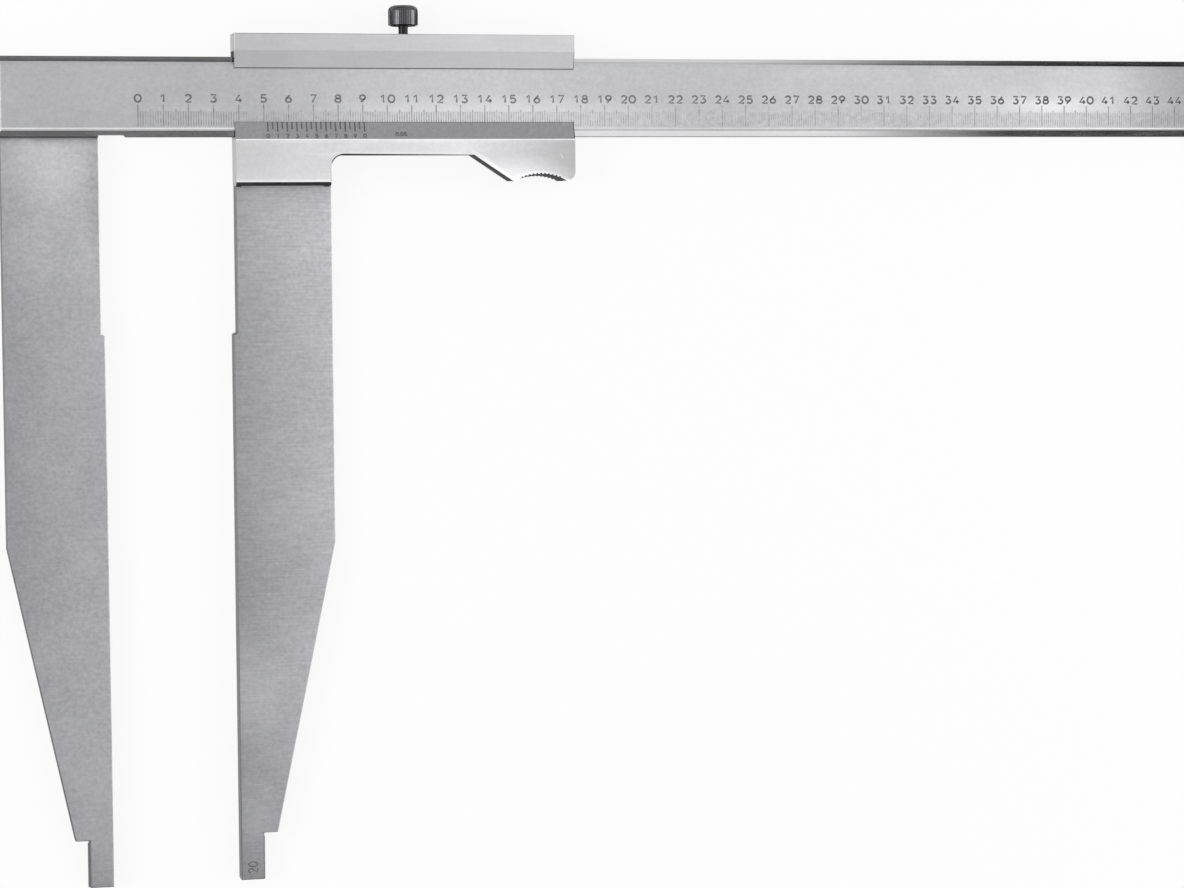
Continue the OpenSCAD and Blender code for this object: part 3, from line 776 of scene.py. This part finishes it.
def front_outline(edge):
    """True for the front's outline, but not along the slope and the leaning thumb hollow."""
    below_slope = min(v.co.y for v in edge.verts) <= slope_foot.y - 1 * MM
    in_hollow = any(
        HOLLOW_LEAN[0] < abs(face.normal.z) < HOLLOW_LEAN[1] for face in edge.link_faces)
    return on_plane(edge, 2, block_high.z) and below_slope and not in_hollow


def in_low_part(edge):
    """True between the root over the jaw and the thumb slope."""
    return LOW_EDGE_X[0] < (edge.verts[0].co.x + edge.verts[1].co.x) / 2 < LOW_EDGE_X[1]


block = merged_copy("slider_block")
for face in block.faces:
    face.material_index = block_finish(face)
vernier_face = max((f for f in block.faces if f.material_index == SLOPE), key=lambda f: f.calc_area())
slope_top = max((v.co.copy() for v in vernier_face.verts), key=lambda c: c.y)
slope_foot = min((v.co.copy() for v in vernier_face.verts), key=lambda c: c.y)
print("slope from y:", round(slope_foot.y / MM, 2), "to:", round(slope_top.y / MM, 2))

# %% [markdown]
# All edges of one bevel are clamped by the tightest spot among them, so the block's
# edges go in as three groups: the slope's foot, the wider edge between the jaw and
# the thumb rest, and the rest of the outline. The foot goes first, since it crosses
# the others' ends. The slope then gets a narrow rim of painted shade, made by an inset,
# and the rim's right end is painted darker still.

# %% Slider block
BLOCK_EDGE_W = 0.2 * MM
BLOCK_LOW_EDGE_W = 0.5 * MM
SLOPE_EDGE_W = 0.2 * MM
SLOPE_RIM_W = 0.45 * MM

break_edges(
    block, SLOPE_EDGE_W,
    lambda e: on_plane(e, 2, block_high.z) and on_plane(e, 1, slope_foot.y), BRIGHT)
for width, low_part in ((BLOCK_LOW_EDGE_W, True), (BLOCK_EDGE_W, False)):
    chamfers = break_edges(
        block, width, lambda e: front_outline(e) and in_low_part(e) == low_part, BRIGHT)
    for face in chamfers:
        face.material_index = block_edge_finish(face)
slopes = [f for f in block.faces if f.material_index == SLOPE]
print("slope faces:", len(slopes), [round(f.calc_area() / MM ** 2, 1) for f in slopes])
rim = bmesh.ops.inset_individual(block, faces=slopes, thickness=SLOPE_RIM_W, depth=0)["faces"]
for face in rim:
    face.material_index = RIM
    # The rim's right end takes the darkest painted shade.
    if face.calc_center_median().x > block_high.x - SLOPE_RIM_W:
        face.material_index = DARK
stand_in("slider_lower_block", block, "slider_block",
         [satin_block, matt_vernier, milled_end, shaded_recess, shaded_side, soft_edge, shadow_edge,
          highlight_edge, shaded_vernier_rim])

# %% [markdown]
# The upper rail is a flat land and a lip that slopes down to the beam. The lip is a
# shade darker, since it looks towards the jaws and not straight up at the light. Both
# carry painted shade towards the left end, and the sides are painted dark as shade. A
# narrow chamfer runs round the land, and the lip's lower edge and right end get a
# wider one that is painted dark as a line of shade.

# %% Slider rail
RAIL_EDGE_W = 0.25 * MM
LIP_EDGE_W = 0.4 * MM
UPRIGHT = 0.1
rail_low, rail_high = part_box("slider_rail")
LAND, LIP, RAIL_END, RAIL_SIDE, RAIL_EDGE, LIP_EDGE = range(6)

# Painted shade towards the rail's left end.
rail_shade_tones = [(52, 0.84), (110, 0.97), (191, 1.05)]
satin_rail = steel("satin_rail", (0.6, 0.6, 0.61), 0.36, streaks=0.02, clouds=0.03, grain=0.02,
                   tones=[(0, rail_shade_tones)])
satin_lip = steel("satin_lip", (0.52, 0.52, 0.53), 0.34, streaks=0.02, clouds=0.03, grain=0.02,
                  tones=[(0, rail_shade_tones)])


def rail_finish(face):
    """Index of the finish on one face of the rail."""
    if face.normal.z > LEANING:
        return LAND if face.normal.z > FACING else LIP
    return RAIL_END if face.normal.x < -FACING else RAIL_SIDE


def land_outline(edge):
    """True between the land and an upright side."""
    return on_plane(edge, 2, rail_high.z) and any(abs(f.normal.z) < UPRIGHT for f in edge.link_faces)


def lip_corner(edge):
    """True for the lip's lower edge and its right end."""
    if not any(face.material_index == LIP for face in edge.link_faces):
        return False
    return on_plane(edge, 1, rail_low.y) or on_plane(edge, 0, rail_high.x)


bm = merged_copy("slider_rail")
for face in bm.faces:
    face.material_index = rail_finish(face)
break_edges(bm, RAIL_EDGE_W, land_outline, RAIL_EDGE)
break_edges(bm, LIP_EDGE_W, lip_corner, LIP_EDGE)
stand_in("slider_upper_rail", bm, "slider_rail",
         [satin_rail, satin_lip, milled_end, shaded_side, soft_edge, shadow_edge])

# %% [markdown]
# The marks are etched and filled with black. The fill is uneven, each kind of mark has
# a grey of its own, and the grey pales and darkens along the scale. Each line is a thin
# box that stands a hundredth of a millimetre proud, so that it neither flickers with the
# steel under it nor reads as a separate part.

# %% Black fill
WEAR_L = 2 * MM
INK_STRENGTH = (0.7, 1.3)
INK_ROUGHNESS = (0.55, 0.7)
MARK_PROUD = 0.012 * MM


def mark_fill(name, color, tones=()):
    """The dark fill of an etched mark, uneven as it wears."""
    material, tree = new_material(name)
    shader = tree.nodes["Principled BSDF"]
    wear = stretched_noise(tree, WEAR_L, WEAR_L, 0, 3)
    strength = spread(tree, wear, *INK_STRENGTH)
    for change in tones:
        strength = calculate(tree, "MULTIPLY", strength, tone_along(tree, *change))
    ink = add_node(tree, "ShaderNodeVectorMath", {0: color, "Scale": strength}, operation="SCALE")
    tree.links.new(ink.outputs[0], shader.inputs["Base Color"])
    tree.links.new(spread(tree, wear, *INK_ROUGHNESS), shader.inputs["Roughness"])
    return material


black_fill = mark_fill("black_fill", (0.1, 0.1, 0.104))
cm_tones = [(14, 1.0), (90, 1.2), (200, 1.6), (400, 1.5), (445, 1.0)]
cm_fill = mark_fill("cm_fill", (0.27, 0.27, 0.275), tones=[(0, cm_tones)])
figure_tones = [(14, 1.0), (80, 1.35), (200, 1.5), (320, 1.0), (440, 0.7)]
figure_fill = mark_fill("figure_fill", (0.13, 0.13, 0.134), tones=[(0, figure_tones)])
fine_tones = [(50, 0.85), (62, 1.05), (120, 1.1), (200, 1.3), (400, 1.3), (445, 0.95), (560, 0.9)]
faint_fill = mark_fill("faint_fill", (0.39, 0.39, 0.395), tones=[(0, fine_tones)])
print("fills:", black_fill.name, cm_fill.name, figure_fill.name, faint_fill.name)


def add_line(bm, x, y0, y1, width):
    """One upright line of a scale, drawn flat around z = 0."""
    place = Matrix.Translation((x, (y0 + y1) / 2, 0))
    size = Matrix.Diagonal((width, y1 - y0, 2 * MARK_PROUD, 1))
    bmesh.ops.create_cube(bm, size=1, matrix=place @ size)


# %% [markdown]
# The main scale is ruled in millimetres, with longer lines at 5 and 10. Its zero is
# not at the measuring face but a little along the beam, and the vernier's zero is as
# far along the slider, so the two meet when the jaws are closed. The fine lines hold
# less black than the centimetre lines, and are paler still from 20 to 40 cm.

# %% Main scale lines
SCALE_ZERO = 14.1 * MM
SCALE_CM = 54
LINE_W = {10: 0.52 * MM, 5: 0.5 * MM, 1: 0.48 * MM}
LINE_FOOT_Y = 4.3 * MM
LINE_TOP_Y = {10: 13.0 * MM, 5: 11.0 * MM, 1: 10.2 * MM}

beam_plane = Matrix.Translation((SCALE_ZERO, 0, BEAM_FACE_Z))
lines = {"main_scale_lines": bmesh.new(), "main_scale_fine_lines": bmesh.new()}
for mm in range(SCALE_CM * 10 + 1):
    kind = next(step for step in LINE_TOP_Y if mm % step == 0)
    bm = lines["main_scale_lines" if kind == 10 else "main_scale_fine_lines"]
    add_line(bm, mm * MM, LINE_FOOT_Y, LINE_TOP_Y[kind], LINE_W[kind])
for (name, bm), fill in zip(lines.items(), (cm_fill, faint_fill)):
    bmesh.ops.transform(bm, matrix=beam_plane, verts=bm.verts)
    make_piece(name, bm, "beam_assembly", [fill])

# %% [markdown]
# The figures are cut with a round tool that follows one line, so each is a few
# strokes and not an outline. A stroke is a list of points on a grid where a figure is
# one unit tall. Round parts come from arc(), and the 9 is the 6 turned upside down.

# %% Figures as strokes
ARC_STEP = 24


def arc(centre_x, centre_y, radius_x, radius_y, start, end, step=ARC_STEP):
    """Points along an ellipse from one angle to another, in degrees."""
    count = max(2, round(abs(end - start) / step))
    angles = [math.radians(start + (end - start) * i / count) for i in range(count + 1)]
    return [(centre_x + radius_x * math.cos(a), centre_y + radius_y * math.sin(a)) for a in angles]


SIX = [[(0.56, 1.0), (0.12, 0.46)] + arc(0.38, 0.31, 0.33, 0.31, 150, 510)]
FIGURES = {
    "0": [arc(0.39, 0.5, 0.39, 0.5, 90, 450)],
    "1": [[(0.14, 0.72), (0.46, 1.0), (0.46, 0.0)]],
    "2": [arc(0.38, 0.69, 0.32, 0.31, 165, -35) + [(0.06, 0.0), (0.74, 0.0)]],
    "3": [[(0.08, 1.0), (0.68, 1.0), (0.36, 0.6)] + arc(0.36, 0.3, 0.34, 0.3, 80, -150)],
    "4": [[(0.5, 1.0), (0.04, 0.25), (0.76, 0.25)], [(0.56, 0.5), (0.56, 0.0)]],
    "5": [[(0.68, 1.0), (0.16, 1.0), (0.11, 0.56)] + arc(0.37, 0.31, 0.34, 0.31, 130, -150)],
    "6": SIX,
    "7": [[(0.06, 1.0), (0.74, 1.0), (0.28, 0.0)]],
    "8": [arc(0.39, 0.77, 0.27, 0.23, -90, 270), arc(0.39, 0.27, 0.34, 0.27, 90, 450)],
    "9": [[(0.76 - x, 1 - y) for x, y in SIX[0]]],
    ",": [[(0.12, 0.08), (0.04, -0.16)]],
}
print("figures:", " ".join(FIGURES), "strokes:", sum(len(strokes) for strokes in FIGURES.values()))

# %% [markdown]
# A number is its figures side by side, centred on its line. A curve with a bevel turns
# each stroke into a round wire, so no outline has to be drawn, and its caps close the
# ends. The wires are made a mesh, pressed flat and laid on the plane of the mark.

# %% Numbers as flat wires
FIGURE_W = 0.78
FIGURE_ADVANCE = 1.05
COMMA_ADVANCE = 0.4


def number_strokes(text, height, centre_x, foot_y, stretch=1.0):
    """Strokes of a number, centred on x, standing on a line, and stretched along it."""
    advance = [COMMA_ADVANCE if c == "," else FIGURE_ADVANCE for c in text]
    gap = FIGURE_ADVANCE - FIGURE_W
    x = -(sum(advance) - gap) / 2
    strokes = []
    for character, step in zip(text, advance):
        for stroke in FIGURES[character]:
            strokes.append([
                (centre_x + (x + px) * height * stretch, foot_y + py * height) for px, py in stroke])
        x += step
    return strokes


def figures_piece(name, strokes, width, plane, body, fill):
    """All the strokes as one mesh: round wires of that width, pressed flat, on a plane."""
    curve = bpy.data.curves.new(name, "CURVE")
    curve.dimensions = "3D"
    curve.bevel_depth = width / 2
    curve.bevel_resolution = 1
    curve.use_fill_caps = True
    for stroke in strokes:
        spline = curve.splines.new("POLY")
        spline.points.add(len(stroke) - 1)
        for point, (x, y) in zip(spline.points, stroke):
            point.co = (x, y, 0, 1)
    wire = bpy.data.objects.new(name + "_wire", curve)
    bpy.context.scene.collection.objects.link(wire)
    bpy.context.view_layer.update()
    bm = bmesh.new()
    bm.from_mesh(bpy.data.meshes.new_from_object(wire))
    bpy.data.objects.remove(wire)
    press = Matrix.Diagonal((1, 1, MARK_PROUD / (width / 2), 1))
    bmesh.ops.transform(bm, matrix=plane @ press, verts=bm.verts)
    piece = make_piece(name, bm, body, [fill], round_shape=True)
    return piece


# %% [markdown]
# Every centimetre has its number above its line. The figures are stretched a little
# along the scale, as on the real one, and lie on the same plane as the lines.

# %% Main scale figures
FIGURE_H = 2.9 * MM
FIGURE_FOOT_Y = 13.9 * MM
FIGURE_STROKE = 0.75 * MM
FIGURE_STRETCH = 1.14

strokes = []
for cm in range(SCALE_CM + 1):
    strokes += number_strokes(str(cm), FIGURE_H, cm * 10 * MM, FIGURE_FOOT_Y, FIGURE_STRETCH)
figures_piece("main_scale_figures", strokes, FIGURE_STROKE, beam_plane, "beam_assembly", figure_fill)

# %% [markdown]
# The vernier has 20 divisions over 39 mm, so each is 0.05 mm short of two millimetres.
# It lies on the slope, so its marks are drawn flat first and then laid on a plane
# whose y runs up the slope.

# %% Vernier
VERNIER_DIVISIONS = 20
VERNIER_LENGTH = 39 * MM
VERNIER_TOP = 0.1 * MM
VERNIER_LONG = 4.1 * MM
VERNIER_SHORT = 3.1 * MM
VERNIER_FIGURE_H = 1.5 * MM
VERNIER_FIGURE_FOOT = 0.75 * MM
VERNIER_STRETCH = 0.95
VERNIER_STROKE = 0.5 * MM
VERNIER_LINE_W = 0.62 * MM
READING_X = 53.8 * MM
READING_H = 1.35 * MM
READING_FOOT = 1.6 * MM

jaw_gap = jaw_low.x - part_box("fixed_jaw")[1].x
up_slope = (slope_top - slope_foot)
up_slope.x = 0
slope_l = up_slope.length
up_slope.normalize()
out_of_slope = Vector((1, 0, 0)).cross(up_slope)
vernier_plane = Matrix.Translation((jaw_gap + SCALE_ZERO, slope_foot.y, slope_foot.z)) @ Matrix(
    (Vector((1, 0, 0)), up_slope, out_of_slope)).transposed().to_4x4()

bm = bmesh.new()
strokes = []
for division in range(VERNIER_DIVISIONS + 1):
    x = division * VERNIER_LENGTH / VERNIER_DIVISIONS
    numbered = division % 2 == 0
    line_l = VERNIER_LONG if numbered else VERNIER_SHORT
    add_line(bm, x, slope_l - VERNIER_TOP - line_l, slope_l - VERNIER_TOP, VERNIER_LINE_W)
    if numbered:
        strokes += number_strokes(
            str(division // 2 % 10), VERNIER_FIGURE_H, x, VERNIER_FIGURE_FOOT, VERNIER_STRETCH)
bmesh.ops.transform(bm, matrix=vernier_plane, verts=bm.verts)
make_piece("vernier_lines", bm, "slider_assembly", [black_fill])
strokes += number_strokes("0,05", READING_H, READING_X, READING_FOOT)
figures_piece("vernier_figures", strokes, VERNIER_STROKE, vernier_plane, "slider_assembly", black_fill)

# %% [markdown]
# The tips add 20 mm to an inside measurement, and a plain 20 on the moving tip says
# so. It reads from the bottom up, so its plane is turned a quarter.

# %% Tip figure
TIP_FIGURE_PLACE = Vector((57.8 * MM, -295 * MM, jaw_high.z))
TIP_FIGURE_H = 3.6 * MM
TIP_STROKE = 0.45 * MM
TIP_STRETCH = 0.7
tip_plane = Matrix.Translation(TIP_FIGURE_PLACE) @ Matrix.Rotation(math.pi / 2, 4, "Z")
figures_piece("tip_figure", number_strokes("20", TIP_FIGURE_H, 0, 0, TIP_STRETCH), TIP_STROKE,
              tip_plane, "slider_assembly", black_fill)

# %% [markdown]
# The knob is turned with a wide round shoulder and a dish on top and a small bevel
# below, and its rim carries shallow straight grooves. One ring of points is extruded
# from level to level. At each level the ring takes a radius, and the one point of each
# tooth that lies in a groove takes a little less.

# %% Levels of the knob
knob_black = black_oxide("knob_black", (0.108, 0.108, 0.113), 0.2, 1, 0.5, rubbed=0.12)
TEETH = 48
TOOTH_POINTS = 6
TOOTH_DEPTH = 0.14 * MM
LOW_BEVEL_W = 0.9 * MM
LOW_BEVEL_H = 0.5 * MM
SHOULDER_W = 2.9 * MM
SHOULDER_H = 2.3 * MM
SHOULDER_STEPS = 6
DISH_W = 0.7 * MM
DISH_DEPTH = 0.35 * MM

knob_r = (knob_high.x - knob_low.x) / 2
knob_h = knob_high.y - knob_low.y
knob_axis = Matrix.Translation(
    ((knob_low.x + knob_high.x) / 2, knob_low.y, (knob_low.z + knob_high.z) / 2)
) @ Matrix.Rotation(-math.pi / 2, 4, "X")

levels = [(knob_r - LOW_BEVEL_W, 0, 0), (knob_r, TOOTH_DEPTH, LOW_BEVEL_H)]
for step in range(SHOULDER_STEPS + 1):
    turn = math.pi / 2 * step / SHOULDER_STEPS
    levels.append((knob_r - SHOULDER_W * (1 - math.cos(turn)),
                   TOOTH_DEPTH * math.cos(turn),
                   knob_h - SHOULDER_H * (1 - math.sin(turn))))
levels += [(knob_r - SHOULDER_W - DISH_W / 2, 0, knob_h),
           (knob_r - SHOULDER_W - DISH_W, 0, knob_h - DISH_DEPTH)]
print("levels as (radius, groove, height) in mm:",
      [tuple(round(v / MM, 2) for v in level) for level in levels])

# %% [markdown]
# The ring starts as a capped circle at the knob's foot. Extruding only its edges grows
# the wall, and filling the last ring closes the dish. The axis then turns from Z to Y.


# %% Knurled knob
def place_ring(verts, radius, depth, z):
    """Moves a ring of points to a level and a radius, with grooves of that depth."""
    for vert in verts:
        turn = math.atan2(vert.co.y, vert.co.x)
        in_groove = (turn / math.tau * TEETH) % 1 > 1 - 1 / TOOTH_POINTS
        r = radius - depth if in_groove else radius
        vert.co = (r * math.cos(turn), r * math.sin(turn), z)


bm = bmesh.new()
ring = bmesh.ops.create_circle(
    bm, cap_ends=True, radius=knob_r, segments=TOOTH_POINTS * TEETH,
    matrix=Matrix.Rotation(math.tau / TEETH / TOOTH_POINTS / 2, 4, "Z"))["verts"]
place_ring(ring, *levels[0])
edges = list(bm.edges)
for level in levels[1:]:
    grown = bmesh.ops.extrude_edge_only(bm, edges=edges)["geom"]
    ring = [g for g in grown if isinstance(g, bmesh.types.BMVert)]
    edges = [g for g in grown if isinstance(g, bmesh.types.BMEdge) and all(v in ring for v in g.verts)]
    place_ring(ring, *level)
bmesh.ops.holes_fill(bm, edges=edges, sides=0)
bmesh.ops.recalc_face_normals(bm, faces=bm.faces)
bmesh.ops.transform(bm, matrix=knob_axis, verts=bm.verts)
stand_in("knurled_knob", bm, "lock_knob", [knob_black], round_shape=True)

# %% [markdown]
# Between knob and rail the lock screw is turned down to a slight waist. A half
# profile is spun once round the axis to make it. It is black like the knob but darker,
# as it stands in the shade between the knob and the rail.

# %% Lock screw
neck_black = black_oxide("neck_black", (0.012, 0.012, 0.013), 0.3, 0, 0.25)
WAIST_DEPTH = 0.12 * MM
WAIST_END = 0.8 * MM
SPIN_STEPS = 48
screw_low, screw_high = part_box("lock_screw")
screw_r = (screw_high.x - screw_low.x) / 2
screw_axis = Matrix.Translation(
    ((screw_low.x + screw_high.x) / 2, 0, (screw_low.z + screw_high.z) / 2)
) @ Matrix.Rotation(-math.pi / 2, 4, "X")
neck_mid = (rail_high.y + knob_low.y) / 2
profile = [
    (0, screw_low.y), (screw_r, screw_low.y), (screw_r, rail_high.y),
    (screw_r - WAIST_DEPTH, neck_mid), (screw_r - WAIST_DEPTH / 2, knob_low.y - WAIST_END),
    (screw_r, knob_low.y), (screw_r, screw_high.y), (0, screw_high.y),
]
bm = bmesh.new()
points = [bm.verts.new((r, 0, y)) for r, y in profile]
lines = [bm.edges.new(pair) for pair in zip(points, points[1:])]
bmesh.ops.spin(
    bm, geom=points + lines, cent=(0, 0, 0), axis=(0, 0, 1), angle=math.tau,
    steps=SPIN_STEPS, use_merge=True)
bmesh.ops.remove_doubles(bm, verts=bm.verts, dist=MERGE_DISTANCE)
bmesh.ops.recalc_face_normals(bm, faces=bm.faces)
bmesh.ops.transform(bm, matrix=screw_axis, verts=bm.verts)
stand_in("lock_screw_neck", bm, "lock_screw", [neck_black], round_shape=True)

# %% [markdown]
# The solids that stay as they are get real finishes too: ground plates, dark screws,
# bright dowels, blue spring steel, and bronze and brass where parts rub. Each solid's
# slot in the record says which finish it takes.

# %% Finishes of the remaining solids
plate_steel = steel("plate_steel", (0.56, 0.56, 0.57), 0.3, streaks=0.06, clouds=0.06)
screw_steel = black_oxide("screw_steel", (0.16, 0.16, 0.165), 0.35, 1, 0.5)
dowel_steel = steel("dowel_steel", (0.6, 0.6, 0.61), 0.22, along=1, streaks=0.04)
spring_steel = steel("spring_steel", (0.3, 0.34, 0.44), 0.28, streaks=0.05)
gib_bronze = steel("gib_bronze", (0.62, 0.38, 0.2), 0.33, streaks=0.06, clouds=0.08)
pad_brass = steel("pad_brass", (0.75, 0.55, 0.22), 0.3, streaks=0.05)
FINISH = {
    "plate_steel": plate_steel, "screw_steel": screw_steel, "dowel_steel": dowel_steel,
    "spring_steel": spring_steel, "gib_bronze": gib_bronze, "pad_brass": pad_brass,
}
for node, solid in frame["nodes"].items():
    if SLOT_OF[node] in FINISH:
        solid.data.materials.clear()
        solid.data.materials.append(FINISH[SLOT_OF[node]])
        print(node, "gets", FINISH[SLOT_OF[node]].name)
